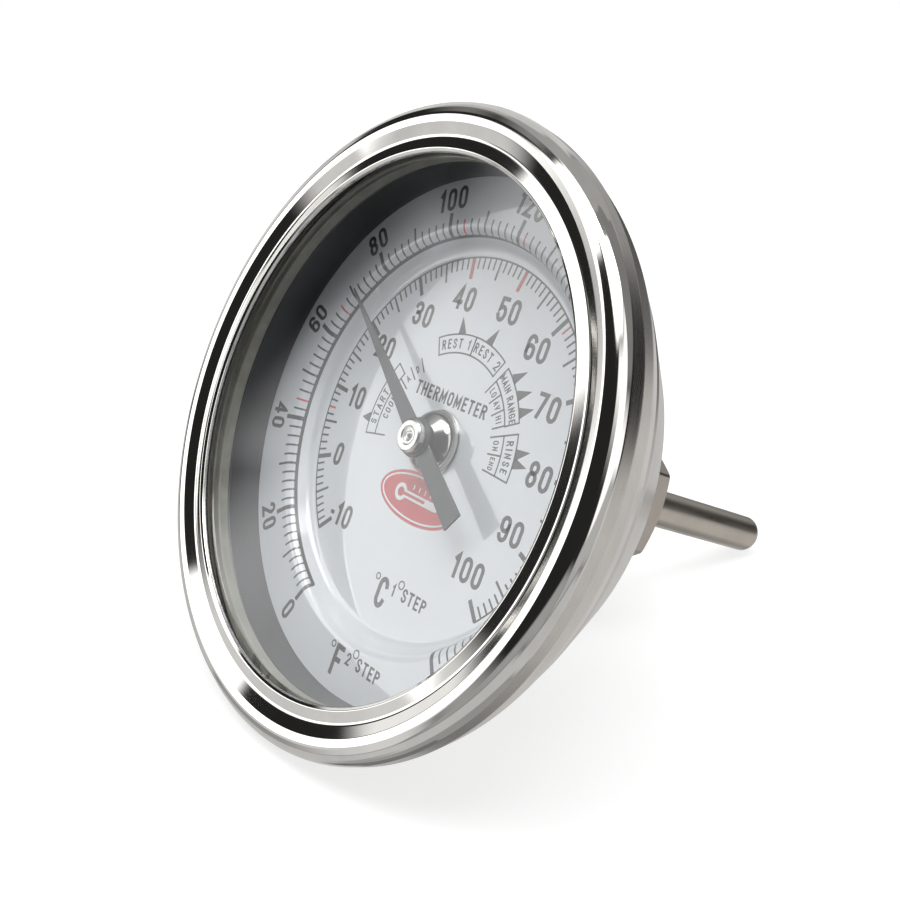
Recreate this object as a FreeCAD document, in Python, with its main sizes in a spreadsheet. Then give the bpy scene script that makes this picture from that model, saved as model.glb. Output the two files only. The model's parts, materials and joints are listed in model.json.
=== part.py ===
"""Back-connected dial thermometer with a bimetal coil in its stem.

Every piece is drawn on the thermometer's own axis. A section is given as (radius, height): height
is counted from the front face of the low inner disc of the dial, positive towards the reader. One
common placement then turns the height axis to face -Y and puts the rear face of the hex at Y = 0,
so the dial reads from -Y, twelve o'clock is +Z and the stem points along +Y.
"""
import FreeCAD, Part
import math
import os
import Sketcher

# Driving dimensions, in millimetres and degrees.
DIMENSIONS = {
    # heights of the main faces
    "hex_rear_depth": 37.0,
    "outer_dial_height": 3.1,
    "spacer_top": 8.65,
    "glass_back": 10.35,
    "glass_front": 12.35,
    "lip_back": 12.65,
    "lip_front": 13.25,
    # bezel
    "lip_radius": 35.7,
    "inner_bead_arc": 2.2,
    "groove_radius": 38.15,
    "groove_height": 13.3,
    "bead_centre_radius": 39.9,
    "bead_centre_height": 11.7,
    "bead_arc": 2.7,
    "bead_foot_offset": 1.4,
    "bead_foot_rise": 2.309,
    "bezel_sheet": 0.7,
    "bezel_inner_foot_offset": 1.0,
    "bezel_inner_foot_rise": 1.732,
    "skirt_top_radius": 42.45,
    "skirt_top_height": 9.9,
    "skirt_bend_radius": 41.4,
    "skirt_bend_height": 7.2,
    "skirt_bend_arc": 5.0,
    "skirt_edge_radius": 39.4,
    "skirt_edge_height": 3.9,
    "skirt_edge_thickness": 0.65,
    # window
    "window_radius": 37.9,
    "seal_inner_radius": 36.0,
    "gasket_inner_radius": 36.1,
    # spacer ring and dial
    "spacer_inner_radius": 36.2,
    "spacer_sheet": 0.5,
    "dial_radius": 37.8,
    "dial_sheet": 0.5,
    "shoulder_foot_radius": 26.9,
    "shoulder_top_radius": 29.2,
    "shoulder_arc": 3.2,
    "dial_hole_radius": 2.2,
    "seat_ring_inner_radius": 35.2,
    "seat_ring_outer_radius": 36.5,
    "seat_ring_bottom": 0.9,
    # case
    "case_sheet": 0.6,
    "flange_radius": 41.3,
    "flange_height": 12.3,
    "case_radius": 38.7,
    "case_bend_height": 3.4,
    "cone_front_radius": 38.3,
    "cone_front_height": 2.1,
    "cone_rear_radius": 31.5,
    "cone_rear_depth": 8.0,
    "case_corner_arc": 2.6,
    "back_outer_radius": 29.2,
    "back_outer_depth": 10.1,
    "back_flat_radius": 12.5,
    "back_depth": 17.0,
    "case_hole_radius": 8.1,
    # hex fitting
    "hex_across_flats": 21.0,
    "hex_length": 10.0,
    "hex_chamfer_radius": 10.4,
    "hex_chamfer_length": 1.25,
    "hex_envelope_radius": 12.6,
    "neck_radius": 9.0,
    "fitting_flange_radius": 11.5,
    "fitting_flange_thickness": 2.6,
    "spigot_radius": 8.0,
    "spigot_length": 4.8,
    "washer_radius": 11.8,
    "washer_thickness": 0.8,
    "lock_nut_across_flats": 22.0,
    "lock_nut_thickness": 3.0,
    # stem
    "stem_radius": 3.0,
    "stem_neck_radius": 2.75,
    "stem_bore_radius": 2.5,
    "stem_socket_radius": 2.78,
    "socket_mouth_radius": 3.08,
    "stem_front_depth": 4.5,
    "stem_rear_depth": 73.2,
    "tip_arc": 1.8,
    # dial bushing and dome
    "bushing_radius": 4.2,
    "bushing_depth": 9.0,
    "bushing_flange_radius": 7.0,
    "bushing_flange_depth": 1.7,
    "bushing_spigot_height": 0.6,
    "bearing_seat_radius": 1.8,
    "bearing_seat_depth": 1.5,
    "spindle_clearance_radius": 0.95,
    "dome_flange_radius": 4.55,
    "dome_flange_thickness": 0.35,
    "dome_radius": 4.15,
    "dome_arc": 3.4,
    "dome_inner_arc": 3.0,
    "dome_inner_radius": 3.7,
    "dome_height": 2.75,
    "dome_hole_radius": 1.0,
    # moving pieces
    "spindle_radius": 0.6,
    "bearing_bore_radius": 0.64,
    "spindle_top": 5.1,
    "spindle_bottom_depth": 49.5,
    "lower_bearing_top_depth": 43.0,
    "lower_bearing_length": 2.0,
    "thrust_collar_radius": 1.3,
    "thrust_collar_length": 0.8,
    "axial_play": 0.3,
    "collet_radius": 2.0,
    "collet_top_depth": 46.8,
    "hub_radius": 2.3,
    "hub_face_height": 5.2,
    "hub_shank_radius": 1.6,
    "hub_chamfer": 0.25,
    "pointer_height": 3.45,
    "pointer_sheet": 0.3,
    "pointer_boss_radius": 2.75,
    "pointer_boss_height": 4.0,
    "pointer_tip_length": 29.7,
    "pointer_tip_half_width": 0.12,
    "pointer_root_half_width": 1.38,
    "pointer_tail_root_half_width": 1.28,
    "pointer_tail_end_half_width": 1.6,
    "pointer_tail_length": 14.6,
    "pointer_rest_angle": 57.0,
    # bimetal coil
    "coil_mean_radius": 1.95,
    "coil_strip_width": 0.9,
    "coil_strip_thickness": 0.25,
    "coil_pitch": 1.5,
    "coil_top_depth": 50.4,
    "coil_length": 19.2,
    "anchor_length": 2.6,
    "anchor_post_radius": 1.8,
    "anchor_post_length": 2.0,
}

doc = FreeCAD.newDocument("dial_thermometer")
sheet = doc.addObject("Spreadsheet::Sheet", "Dimensions")
for row, (alias, value) in enumerate(DIMENSIONS.items(), start=1):
    sheet.set(f"A{row}", alias)
    sheet.set(f"B{row}", str(value))
    sheet.setAlias(f"B{row}", alias)
doc.recompute()


class Size:
    """A length that is known both as a number and as an expression on the sheet's cells."""

    def __init__(self, text, value):
        self.text = text
        self.value = value

    def __add__(self, other):
        return Size(f"{self.text} + {other.text}", self.value + other.value)

    def __sub__(self, other):
        return Size(f"{self.text} - ({other.text})", self.value - other.value)

    def __neg__(self):
        return Size(f"0 - ({self.text})", -self.value)

    def __truediv__(self, number):
        return Size(f"({self.text}) / {number}", self.value / number)


ZERO = Size("0", 0.0)


def cell(alias):
    """The sheet's cell of this name as a Size."""
    return Size(f"Dimensions.{alias}", DIMENSIONS[alias])


FACING = FreeCAD.Placement(
    FreeCAD.Vector(0, -DIMENSIONS["hex_rear_depth"], 0),
    FreeCAD.Rotation(FreeCAD.Vector(1, 0, 0), 90),
)
POINTER_FACING = FACING.multiply(FreeCAD.Placement(
    FreeCAD.Vector(0, 0, 0),
    FreeCAD.Rotation(FreeCAD.Vector(0, 0, 1), DIMENSIONS["pointer_rest_angle"]),
))
pieces = []


def keep(piece, label, placement=FACING):
    """Name a finished sub-part, place it and put it on the list that is written out."""
    piece.Label = label
    piece.Placement = placement
    pieces.append(piece)
    return piece


def origin_plane(body, role):
    """The body's own origin plane of this role, such as XZ_Plane."""
    return next(feature for feature in body.Origin.OriginFeatures if feature.Role == role)


def fix_vertex(sketch, geometry, vertex, across, up):
    """Hold one end of a sketch element at (across, up) from the sketch's origin."""
    for kind, axis, size in (("DistanceX", -2, across), ("DistanceY", -1, up)):
        if size is ZERO:
            sketch.addConstraint(Sketcher.Constraint("PointOnObject", geometry, vertex, axis))
            continue
        index = sketch.addConstraint(
            Sketcher.Constraint(kind, -1, 1, geometry, vertex, size.value))
        sketch.setExpression(f"Constraints[{index}]", size.text)


def arc_centre(start, end, radius, side):
    """Centre of the arc from start to end, on the left (+1) or right (-1) of the chord."""
    chord = end - start
    left = FreeCAD.Vector(-chord.y, chord.x, 0).normalize()
    rise = math.sqrt(radius ** 2 - (chord.Length / 2) ** 2)
    return (start + end) / 2 + left * rise * side


def draw_outline(sketch, corners):
    """Draw a closed outline through corners, each (across, up) or (across, up, arc, side).

    An arc, with the side that its centre lies on, is the shape of the edge that ends at the corner.
    """
    points = [FreeCAD.Vector(corner[0].value, corner[1].value, 0) for corner in corners]
    ends = []
    for index, corner in enumerate(corners):
        start, end = points[index - 1], points[index]
        if len(corner) == 2:
            geometry = sketch.addGeometry(Part.LineSegment(start, end), False)
            ends.append((geometry, 1, 2))
            continue
        radius, side = corner[2], corner[3]
        centre = arc_centre(start, end, radius.value, side)
        first, last = (start, end) if side > 0 else (end, start)
        angles = [math.atan2((point - centre).y, (point - centre).x) for point in (first, last)]
        circle = Part.Circle(centre, FreeCAD.Vector(0, 0, 1), radius.value)
        geometry = sketch.addGeometry(Part.ArcOfCircle(circle, angles[0], angles[1]), False)
        ends.append((geometry, 1, 2) if side > 0 else (geometry, 2, 1))
        constraint = sketch.addConstraint(Sketcher.Constraint("Radius", geometry, radius.value))
        sketch.setExpression(f"Constraints[{constraint}]", radius.text)
    for index, corner in enumerate(corners):
        geometry, _, end_vertex = ends[index]
        next_geometry, start_vertex, _ = ends[(index + 1) % len(ends)]
        sketch.addConstraint(Sketcher.Constraint(
            "Coincident", geometry, end_vertex, next_geometry, start_vertex))
        fix_vertex(sketch, geometry, end_vertex, corner[0], corner[1])


def add_sketch(body, name, role, corners):
    """A sketch with one closed outline on one of the body's origin planes."""
    sketch = body.newObject("Sketcher::SketchObject", name)
    sketch.AttachmentSupport = [(origin_plane(body, role), "")]
    sketch.MapMode = "FlatFace"
    draw_outline(sketch, corners)
    return sketch


def turned_body(name, corners):
    """A body whose section, in (radius, height), is revolved once round the height axis."""
    body = doc.addObject("PartDesign::Body", name)
    sketch = add_sketch(body, name + "_section", "XZ_Plane", corners)
    turned = body.newObject("PartDesign::Revolution", name + "_turned")
    turned.Profile = sketch
    turned.ReferenceAxis = (sketch, ["V_Axis"])
    turned.Angle = 360
    return body


def ring(name, inner, outer, bottom, top):
    """A plain ring or, with inner ZERO, a plain disc."""
    return turned_body(name, [(inner, bottom), (outer, bottom), (outer, top), (inner, top)])


def hexagon_prism(name, across_flats, bottom, height):
    """A hexagonal prism with a corner at twelve o'clock."""
    prism = doc.addObject("Part::Prism", name)
    prism.Polygon = 6
    prism.setExpression("Circumradius", f"({across_flats.text}) / 2 / cos(30 deg)")
    prism.setExpression("Height", height.text)
    prism.setExpression("Placement.Base.z", bottom.text)
    prism.Placement.Rotation = FreeCAD.Rotation(FreeCAD.Vector(0, 0, 1), 30)
    return prism


def combine(kind, name, base, tool):
    """Part::Cut, Part::Common or Part::Fuse of two objects."""
    result = doc.addObject(kind, name)
    result.Base = base
    result.Tool = tool
    return result


def make_bezel_ring():
    """Sheet ring: inner flange, narrow groove, outer bead and a skirt closed behind the flange."""
    centre_radius, centre_height = cell("bead_centre_radius"), cell("bead_centre_height")
    inner_arc = cell("bead_arc") - cell("bezel_sheet")
    keep(turned_body("bezel_ring", [
        (cell("lip_radius"), cell("lip_back")),
        (cell("lip_radius"), cell("lip_front")),
        (cell("groove_radius"), cell("groove_height"), cell("inner_bead_arc"), -1),
        (centre_radius - cell("bead_foot_offset"), centre_height + cell("bead_foot_rise")),
        (centre_radius + cell("bead_arc"), centre_height, cell("bead_arc"), -1),
        (cell("skirt_top_radius"), cell("skirt_top_height")),
        (cell("skirt_bend_radius"), cell("skirt_bend_height"), cell("skirt_bend_arc"), -1),
        (cell("skirt_edge_radius"), cell("skirt_edge_height")),
        (cell("skirt_edge_radius") - cell("skirt_edge_thickness"), cell("skirt_edge_height")),
        (cell("skirt_bend_radius") - cell("bezel_sheet"), cell("skirt_bend_height")),
        (cell("skirt_top_radius") - cell("bezel_sheet"), cell("skirt_top_height")),
        (centre_radius + inner_arc, centre_height),
        (centre_radius - cell("bezel_inner_foot_offset"),
         centre_height + cell("bezel_inner_foot_rise"), inner_arc, 1),
        (cell("groove_radius"), cell("lip_back")),
    ]), "bezel_ring")


def make_case_shell():
    """Drawn sheet dish: front flange, short wall, tapered side, rounded corner, coned back."""
    sheet_thickness = cell("case_sheet")
    flange_back = cell("flange_height") - sheet_thickness
    inner_corner_arc = cell("case_corner_arc") - sheet_thickness
    keep(turned_body("case_shell", [
        (cell("case_hole_radius"), -cell("back_depth")),
        (cell("back_flat_radius"), -cell("back_depth")),
        (cell("back_outer_radius"), -cell("back_outer_depth")),
        (cell("cone_rear_radius"), -cell("cone_rear_depth"), cell("case_corner_arc"), 1),
        (cell("cone_front_radius"), cell("cone_front_height")),
        (cell("case_radius"), cell("case_bend_height")),
        (cell("case_radius"), flange_back),
        (cell("flange_radius"), flange_back),
        (cell("flange_radius"), cell("flange_height")),
        (cell("case_radius") - sheet_thickness, cell("flange_height")),
        (cell("case_radius") - sheet_thickness, cell("case_bend_height")),
        (cell("cone_front_radius") - sheet_thickness, cell("cone_front_height")),
        (cell("cone_rear_radius") - sheet_thickness, -cell("cone_rear_depth")),
        (cell("back_outer_radius"), sheet_thickness - cell("back_outer_depth"), inner_corner_arc, -1),
        (cell("back_flat_radius"), sheet_thickness - cell("back_depth")),
        (cell("case_hole_radius"), sheet_thickness - cell("back_depth")),
    ]), "case_shell")


def make_window():
    """Glass disc with its seal in front and its gasket behind."""
    keep(ring("bezel_seal", cell("seal_inner_radius"), cell("window_radius"),
              cell("glass_front"), cell("lip_back")), "bezel_seal")
    keep(ring("window_glass", ZERO, cell("window_radius"),
              cell("glass_back"), cell("glass_front")), "window_glass")
    keep(ring("window_gasket", cell("gasket_inner_radius"), cell("window_radius"),
              cell("spacer_top"), cell("glass_back")), "window_gasket")


def make_spacer_ring():
    """Polished inner wall with a flange at its front, which carries the gasket."""
    inner, sheet_thickness = cell("spacer_inner_radius"), cell("spacer_sheet")
    flange_back = cell("spacer_top") - sheet_thickness
    keep(turned_body("spacer_ring", [
        (inner, cell("outer_dial_height")),
        (inner + sheet_thickness, cell("outer_dial_height")),
        (inner + sheet_thickness, flange_back),
        (cell("window_radius"), flange_back),
        (cell("window_radius"), cell("spacer_top")),
        (inner, cell("spacer_top")),
    ]), "spacer_ring")


def make_dial():
    """Stepped dial sheet: low inner disc, rounded shoulder and raised outer ring."""
    sheet_thickness, high = cell("dial_sheet"), cell("outer_dial_height")
    foot, top = cell("shoulder_foot_radius"), cell("shoulder_top_radius")
    arc = cell("shoulder_arc")
    middle_radius, middle_height = (foot + top) / 2, high / 2
    keep(turned_body("dial_plate", [
        (cell("dial_hole_radius"), -sheet_thickness),
        (foot + sheet_thickness / 2, -sheet_thickness),
        (middle_radius + sheet_thickness / 2, middle_height - sheet_thickness, arc, 1),
        (top + sheet_thickness / 2, high - sheet_thickness, arc, -1),
        (cell("dial_radius"), high - sheet_thickness),
        (cell("dial_radius"), high),
        (top, high),
        (middle_radius, middle_height, arc, 1),
        (foot, ZERO, arc, -1),
        (cell("dial_hole_radius"), ZERO),
    ]), "dial_plate")
    keep(ring("dial_seat_ring", cell("seat_ring_inner_radius"), cell("seat_ring_outer_radius"),
              cell("seat_ring_bottom"), high - sheet_thickness), "dial_seat_ring")


def make_dial_centre():
    """Bushing behind the dial with the upper bearing in it, and the dome over its rivet end."""
    clear, seat = cell("spindle_clearance_radius"), cell("bearing_seat_radius")
    keep(turned_body("dial_bushing", [
        (clear, cell("bushing_spigot_height")),
        (clear, -cell("bearing_seat_depth")),
        (seat, -cell("bearing_seat_depth")),
        (seat, -cell("stem_front_depth")),
        (cell("stem_socket_radius"), -cell("stem_front_depth")),
        (cell("stem_socket_radius"), -cell("bushing_depth")),
        (cell("bushing_radius"), -cell("bushing_depth")),
        (cell("bushing_radius"), -cell("bushing_flange_depth")),
        (cell("bushing_flange_radius"), -cell("bushing_flange_depth")),
        (cell("bushing_flange_radius"), -cell("dial_sheet")),
        (cell("dial_hole_radius"), -cell("dial_sheet")),
        (cell("dial_hole_radius"), cell("bushing_spigot_height")),
    ]), "dial_bushing")
    keep(ring("upper_bearing", cell("bearing_bore_radius"), seat,
              -cell("stem_front_depth"), -cell("bearing_seat_depth")), "upper_bearing")
    keep(turned_body("dial_dome", [
        (cell("dome_inner_radius"), ZERO, cell("dome_inner_arc"), -1),
        (cell("dome_flange_radius"), ZERO),
        (cell("dome_flange_radius"), cell("dome_flange_thickness")),
        (cell("dome_radius"), cell("dome_flange_thickness")),
        (cell("dome_hole_radius"), cell("dome_height"), cell("dome_arc"), 1),
        (cell("dome_hole_radius"), cell("dome_height") - cell("dome_flange_thickness")),
    ]), "dial_dome")


def make_stem():
    """Thin-walled stem with a reduced neck in the fitting, its welded tip and the coil's anchor."""
    bore, rear, front = cell("stem_bore_radius"), -cell("stem_rear_depth"), -cell("stem_front_depth")
    keep(turned_body("stem_tube", [
        (bore, rear),
        (cell("stem_radius"), rear),
        (cell("stem_radius"), -cell("hex_rear_depth")),
        (cell("stem_neck_radius"), -cell("hex_rear_depth")),
        (cell("stem_neck_radius"), front),
        (bore, front),
    ]), "stem_tube")
    end = cell("stem_rear_depth") + cell("tip_arc")
    keep(turned_body("stem_tip_cap", [
        (ZERO, rear),
        (ZERO, -end),
        (cell("stem_radius") - cell("tip_arc"), -end),
        (cell("stem_radius"), rear, cell("tip_arc"), 1),
    ]), "stem_tip_cap")
    anchor_top = cell("anchor_length") - cell("stem_rear_depth")
    keep(turned_body("coil_anchor", [
        (ZERO, -cell("stem_rear_depth")),
        (cell("stem_bore_radius"), -cell("stem_rear_depth")),
        (cell("stem_bore_radius"), anchor_top),
        (cell("anchor_post_radius"), anchor_top),
        (cell("anchor_post_radius"), anchor_top + cell("anchor_post_length")),
        (ZERO, anchor_top + cell("anchor_post_length")),
    ]), "coil_anchor")
    keep(ring("lower_bearing", cell("bearing_bore_radius"), cell("stem_bore_radius"),
              -cell("lower_bearing_top_depth") - cell("lower_bearing_length"),
              -cell("lower_bearing_top_depth")), "lower_bearing")


def make_bimetal_coil():
    """Bimetal strip wound edge to edge round the stem's axis, as one helical sweep."""
    size = {name: sheet.get("coil_" + name) for name in (
        "mean_radius", "strip_width", "strip_thickness", "pitch", "top_depth", "length")}
    path = Part.makeHelix(size["pitch"], size["length"] - size["strip_width"], size["mean_radius"])
    half_width, half_thickness = size["strip_width"] / 2, size["strip_thickness"] / 2
    corners = [
        FreeCAD.Vector(size["mean_radius"] + across * half_thickness, 0, along * half_width)
        for across, along in ((-1, -1), (1, -1), (1, 1), (-1, 1), (-1, -1))
    ]
    strip = Part.Wire(path).makePipeShell([Part.makePolygon(corners)], True, True)
    coil = doc.addObject("Part::Feature", "bimetal_coil")
    coil.Shape = strip
    lower_end = FreeCAD.Vector(0, 0, half_width - size["top_depth"] - size["length"])
    keep(coil, "bimetal_coil", FACING.multiply(FreeCAD.Placement(lower_end, FreeCAD.Rotation())))


def make_fitting():
    """Hex with a round neck and a spigot, clamped to the case by a washer and a lock nut."""
    rear, back = -cell("hex_rear_depth"), -cell("back_depth")
    hex_front = rear + cell("hex_length")
    socket = cell("stem_socket_radius")
    chamfer_radius, chamfer = cell("hex_chamfer_radius"), cell("hex_chamfer_length")
    corner_radius = cell("hex_envelope_radius")
    blank = hexagon_prism("hex_blank", cell("hex_across_flats"), rear, cell("hex_length"))
    mouth = cell("socket_mouth_radius")
    envelope = turned_body("hex_envelope", [
        (socket, rear + mouth - socket),
        (mouth, rear),
        (chamfer_radius, rear),
        (corner_radius, rear + chamfer),
        (corner_radius, hex_front - chamfer),
        (chamfer_radius, hex_front),
        (socket, hex_front),
    ])
    nut = combine("Part::Common", "hex_nut", blank, envelope)
    flange_back = back - cell("fitting_flange_thickness")
    shank = turned_body("fitting_shank", [
        (socket, hex_front),
        (cell("neck_radius"), hex_front),
        (cell("neck_radius"), flange_back),
        (cell("fitting_flange_radius"), flange_back),
        (cell("fitting_flange_radius"), back),
        (cell("spigot_radius"), back),
        (cell("spigot_radius"), back + cell("spigot_length")),
        (socket, back + cell("spigot_length")),
    ])
    keep(combine("Part::Fuse", "hex_fitting", nut, shank), "hex_fitting")
    inside = back + cell("case_sheet")
    nut_back = inside + cell("washer_thickness")
    keep(ring("fitting_washer", cell("case_hole_radius"), cell("washer_radius"),
              inside, nut_back), "fitting_washer")
    lock_blank = hexagon_prism("lock_nut_blank", cell("lock_nut_across_flats"), nut_back,
                               cell("lock_nut_thickness"))
    bore = doc.addObject("Part::Cylinder", "lock_nut_bore")
    bore.setExpression("Radius", cell("case_hole_radius").text)
    bore.setExpression("Height", cell("lock_nut_thickness").text)
    bore.setExpression("Placement.Base.z", nut_back.text)
    keep(combine("Part::Cut", "fitting_lock_nut", lock_blank, bore), "fitting_lock_nut")


def make_spindle():
    """Spindle with the coil's collet and the thrust collar that bears on the lower bearing."""
    radius = cell("spindle_radius")
    keep(ring("spindle", ZERO, radius, -cell("spindle_bottom_depth"), cell("spindle_top")),
         "spindle")
    keep(ring("coil_collet", radius, cell("collet_radius"),
              -cell("spindle_bottom_depth"), -cell("collet_top_depth")), "coil_collet")
    collar_bottom = cell("axial_play") - cell("lower_bearing_top_depth")
    keep(ring("thrust_collar", radius, cell("thrust_collar_radius"),
              collar_bottom, collar_bottom + cell("thrust_collar_length")), "thrust_collar")


def make_pointer():
    """Flat tapered blade with a flared tail and a round boss, staked on a turned hub."""
    bottom, boss_top = cell("pointer_height"), cell("pointer_boss_height")
    shank, hub_radius = cell("hub_shank_radius"), cell("hub_radius")
    tip_width, root_width = cell("pointer_tip_half_width"), cell("pointer_root_half_width")
    tail_root, tail_end = cell("pointer_tail_root_half_width"), cell("pointer_tail_end_half_width")
    body = doc.addObject("PartDesign::Body", "pointer_blade")
    outline = add_sketch(body, "blade_outline", "XY_Plane", [
        (-tip_width, cell("pointer_tip_length")),
        (-root_width, ZERO),
        (-tail_root, -root_width),
        (-tail_end, -cell("pointer_tail_length")),
        (tail_end, -cell("pointer_tail_length")),
        (tail_root, -root_width),
        (root_width, ZERO),
        (tip_width, cell("pointer_tip_length")),
    ])
    outline.setExpression("AttachmentOffset.Base.z", bottom.text)
    blade = body.newObject("PartDesign::Pad", "blade_sheet")
    blade.Profile = outline
    blade.setExpression("Length", cell("pointer_sheet").text)
    boss_section = add_sketch(body, "boss_section", "XZ_Plane", [
        (ZERO, bottom),
        (cell("pointer_boss_radius"), bottom),
        (cell("pointer_boss_radius"), boss_top),
        (ZERO, boss_top),
    ])
    boss = body.newObject("PartDesign::Revolution", "boss")
    boss.Profile = boss_section
    boss.ReferenceAxis = (boss_section, ["V_Axis"])
    boss.Angle = 360
    hole_section = add_sketch(body, "boss_hole_section", "XZ_Plane", [
        (ZERO, bottom),
        (shank, bottom),
        (shank, boss_top),
        (ZERO, boss_top),
    ])
    hole = body.newObject("PartDesign::Groove", "boss_hole")
    hole.Profile = hole_section
    hole.ReferenceAxis = (hole_section, ["V_Axis"])
    hole.Angle = 360
    keep(body, "pointer_blade", POINTER_FACING)
    face, chamfer = cell("hub_face_height"), cell("hub_chamfer")
    bore = cell("spindle_radius")
    keep(turned_body("pointer_hub", [
        (bore, bottom),
        (shank, bottom),
        (shank, boss_top),
        (hub_radius, boss_top),
        (hub_radius, face - chamfer),
        (hub_radius - chamfer, face),
        (bore, face),
    ]), "pointer_hub", POINTER_FACING)


def check_and_write():
    """Stop if any object failed, then write one STEP file per sub-part."""
    doc.recompute()
    failed = [item.Name for item in doc.Objects if {"Invalid", "Error"} & set(item.State)]
    if failed:
        raise RuntimeError(f"failed objects: {failed}")
    for piece in pieces:
        if piece.Shape.isNull() or not piece.Shape.isValid():
            raise RuntimeError(f"bad shape: {piece.Label}")
    os.makedirs("parts", exist_ok=True)
    for piece in pieces:
        piece.Shape.exportStep(f"parts/{piece.Label}.step")
        print(f"{piece.Label:18s} solids {len(piece.Shape.Solids)} volume {piece.Shape.Volume:10.2f}")


make_bezel_ring()
make_case_shell()
make_window()
make_spacer_ring()
make_dial()
make_dial_centre()
make_stem()
make_bimetal_coil()
make_fitting()
make_spindle()
make_pointer()
check_and_write()
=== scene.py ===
"""Looks of a back-connected dial thermometer that lies on a white table, on its rim and its stem."""
import json
import math

import bpy
from mathutils import Matrix, Vector


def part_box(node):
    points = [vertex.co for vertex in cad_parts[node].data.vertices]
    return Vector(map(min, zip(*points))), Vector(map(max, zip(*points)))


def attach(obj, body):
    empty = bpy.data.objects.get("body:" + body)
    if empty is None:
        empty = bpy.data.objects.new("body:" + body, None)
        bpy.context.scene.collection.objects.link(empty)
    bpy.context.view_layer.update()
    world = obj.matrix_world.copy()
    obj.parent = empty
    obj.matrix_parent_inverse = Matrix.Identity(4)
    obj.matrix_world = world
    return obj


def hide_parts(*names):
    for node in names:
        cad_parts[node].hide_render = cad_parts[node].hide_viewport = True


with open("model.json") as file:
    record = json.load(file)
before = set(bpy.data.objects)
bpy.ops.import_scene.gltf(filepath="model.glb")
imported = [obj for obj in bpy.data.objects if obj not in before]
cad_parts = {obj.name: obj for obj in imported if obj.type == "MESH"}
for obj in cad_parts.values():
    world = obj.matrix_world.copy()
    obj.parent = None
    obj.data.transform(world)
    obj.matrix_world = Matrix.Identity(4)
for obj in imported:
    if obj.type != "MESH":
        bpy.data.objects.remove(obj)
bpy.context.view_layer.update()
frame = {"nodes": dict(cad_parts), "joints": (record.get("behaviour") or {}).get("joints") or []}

# ---------------------------------------------------------------- sizes
# Millimetres and degrees. A point is (radius, height): height is counted from the front face of the
# dial's low inner disc towards the reader. A turn is clockwise from twelve o'clock.
MM = 0.001
DIAL_FACE_Y = frame["joints"][0]["pos_m"][1]
STEM_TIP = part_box("stem_tip_cap")[1].y
STEM_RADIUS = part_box("stem_tube")[1].x / MM
RIM_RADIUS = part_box("bezel_ring")[1].z / MM

CELSIUS_RADIUS = 26.0
FAHRENHEIT_RADIUS = 28.3
OUTER_DIAL_HEIGHT = 3.1
SHOULDER_FOOT = 26.9
SHOULDER_TOP = 29.2
DIAL_RADIUS = 37.8
DIAL_HOLE_RADIUS = 2.2
DIAL_SHEET = 0.5
POINTER_REST_TURN = -57.0

SEGMENTS = 360
LARGEST_ARC_STEP = math.radians(9)
LONGEST_ARC_STEP = 0.3
FLAT_CORNER = math.pi - 0.001
SHORTEST_EDGE = 1e-6
AXIS_RADIUS = 1e-5


def at(radius, height, turn):
    """Point in the frame, in metres, from a radius and height in millimetres and a turn in degrees."""
    angle = math.radians(turn)
    return Vector((
        radius * MM * math.sin(angle),
        DIAL_FACE_Y - height * MM,
        radius * MM * math.cos(angle),
    ))


# ---------------------------------------------------------------- meshes
def finish_piece(mesh, name, body, materials, replaces=()):
    """Make the object of a mesh, give it its materials, and let it ride on its body."""
    piece = bpy.data.objects.new(name, mesh)
    bpy.context.scene.collection.objects.link(piece)
    for material in materials:
        mesh.materials.append(material)
    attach(piece, body)
    if replaces:
        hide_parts(*replaces)
    return piece


def rounded_outline(corners):
    """Segments of a closed outline whose corners are rounded.

    A corner is (radius, height, fillet) or (radius, height, fillet, material), where the material is
    that of the edge that leaves the corner. Each segment is (start, end, start normal, end normal,
    material), counter-clockwise in (radius, height), with normals that point out of the solid.
    """
    points = [Vector(corner[:2]) for corner in corners]
    area = sum(points[i - 1].cross(points[i]) for i in range(len(points)))
    if area < 0:
        shifted = [corner[3] if len(corner) > 3 else 0 for corner in corners]
        corners = [
            (corner[0], corner[1], corner[2], shifted[i - 1])
            for i, corner in enumerate(corners)
        ][::-1]
        points = points[::-1]
    count = len(corners)
    arcs = []
    for i, corner in enumerate(corners):
        here, fillet = points[i], corner[2]
        before = (points[i - 1] - here).normalized()
        after = (points[(i + 1) % count] - here).normalized()
        opening = before.angle(after)
        if fillet <= 0 or opening > FLAT_CORNER:
            arcs.append(([here], None))
            continue
        reach = fillet / math.tan(opening / 2)
        centre = here + (before + after).normalized() * fillet / math.sin(opening / 2)
        start, sweep = here + before * reach, math.pi - opening
        turning = 1 if (-before).cross(after) > 0 else -1
        steps = max(3, math.ceil(sweep / LARGEST_ARC_STEP),
                    math.ceil(fillet * sweep / LONGEST_ARC_STEP))
        spoke = start - centre
        ring = [centre + rotated(spoke, turning * sweep * k / steps) for k in range(steps + 1)]
        arcs.append((ring, (centre, turning)))
    segments = []
    for i, (ring, bow) in enumerate(arcs):
        material = corners[i][3] if len(corners[i]) > 3 else 0
        if bow:
            centre, turning = bow
            for a, b in zip(ring, ring[1:]):
                normals = [((p - centre) * turning).normalized() for p in (a, b)]
                segments.append((a, b, normals[0], normals[1], material))
        a, b = ring[-1], arcs[(i + 1) % count][0][0]
        if (b - a).length > SHORTEST_EDGE:
            normal = Vector(((b - a).y, (a - b).x)).normalized()
            segments.append((a, b, normal, normal, material))
    return segments


def rotated(vector, angle):
    """A flat vector turned by an angle."""
    c, s = math.cos(angle), math.sin(angle)
    return Vector((vector.x * c - vector.y * s, vector.x * s + vector.y * c))


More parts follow.
